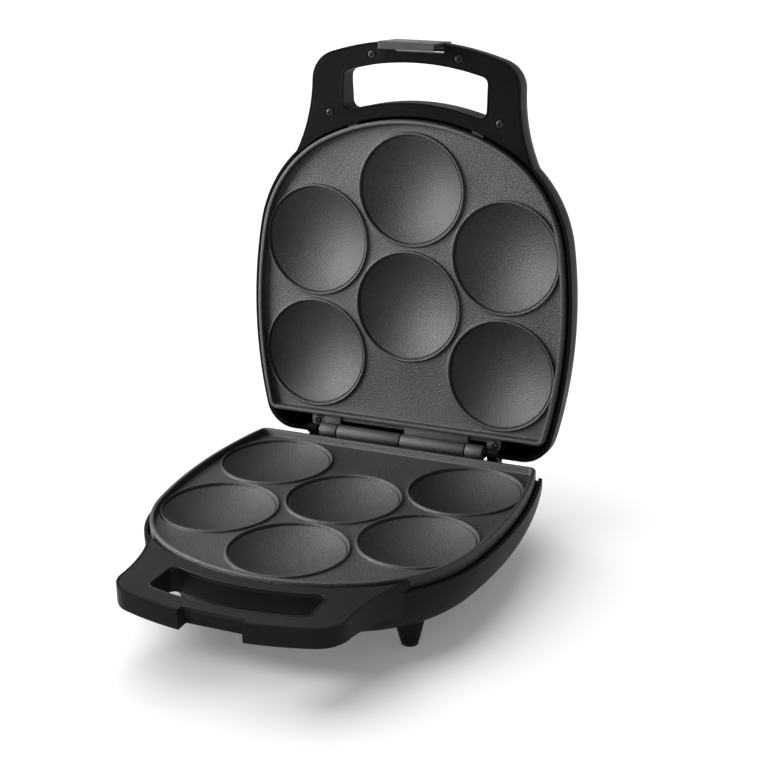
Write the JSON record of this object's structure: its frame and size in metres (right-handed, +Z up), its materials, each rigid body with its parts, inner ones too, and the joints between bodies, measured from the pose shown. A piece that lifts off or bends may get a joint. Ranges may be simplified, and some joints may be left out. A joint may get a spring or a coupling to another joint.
{
  "type": "small cake maker",
  "caption": "Hinged electric maker for small round cakes: twin cast plates with shallow round bowls, black tub and lid, loop handles and a latch clip.",
  "frame": {"origin": "on the ground under the middle of the bounding box, standing on its feet with the lid open", "axes": "+Z up, +Y towards the hinge and the back, +X to the user's right"},
  "size_m": [0.233, 0.3338, 0.3277],
  "materials": {
    "black_plastic": "fine moulded grain",
    "cover_plastic": "smooth satin",
    "clip_plastic": "smooth satin",
    "nonstick_coating": "sprayed non-stick coating on cast aluminium",
    "screw_steel": "plated",
    "pin_steel": "drawn",
    "element_sheath": "heat darkened sheath",
    "zinc_sheet": "zinc coated sheet",
    "thermostat_shell": "pressed shell",
    "fuse_sleeve": "woven sleeve",
    "terminal_plastic": "ceramic-like white",
    "gland_rubber": "matte",
    "foot_rubber": "matte",
    "red_lens": "clear tinted",
    "green_lens": "clear tinted",
    "lamp_glass": "clear"
  },
  "bodies": {
    "base": {"base_housing": "black_plastic", "base_handle_cover": "black_plastic", "base_handle_screws": "screw_steel", "lower_plate": "nonstick_coating", "lower_plate_screws": "screw_steel", "lower_heating_element": "element_sheath", "lower_element_clamps": "zinc_sheet", "lower_clamp_screws": "screw_steel", "lower_heat_shield": "zinc_sheet", "lower_shield_screws": "screw_steel", "lower_thermostat": "thermostat_shell", "thermal_fuse": "fuse_sleeve", "terminal_block": "terminal_plastic", "cord_gland": "gland_rubber", "foot_pads": "foot_rubber", "hinge_pin": "pin_steel"},
    "lid": {"lid_housing": "black_plastic", "lid_handle_cover": "cover_plastic", "lid_handle_screws": "screw_steel", "upper_plate": "nonstick_coating", "upper_plate_screws": "screw_steel", "upper_heating_element": "element_sheath", "upper_element_clamps": "zinc_sheet", "upper_clamp_screws": "screw_steel", "upper_heat_shield": "zinc_sheet", "upper_shield_screws": "screw_steel", "upper_thermostat": "thermostat_shell", "power_lamp_lens": "red_lens", "ready_lamp_lens": "green_lens", "indicator_lamps": "lamp_glass", "latch_pin": "pin_steel"},
    "latch": {"latch_clip": "clip_plastic"}
  },
  "joints": [
    {"name": "lid_hinge", "type": "hinge", "parent": "base", "child": "lid", "pos_m": [0, 0.10406, 0.057], "axis": [1, 0, 0], "range_deg": [0, 96.35]},
    {"name": "latch_pivot", "type": "hinge", "parent": "lid", "child": "latch", "pos_m": [0, 0.14657, 0.32152], "axis": [1, 0, 0], "range_deg": [0, 4.5]}
  ]
}
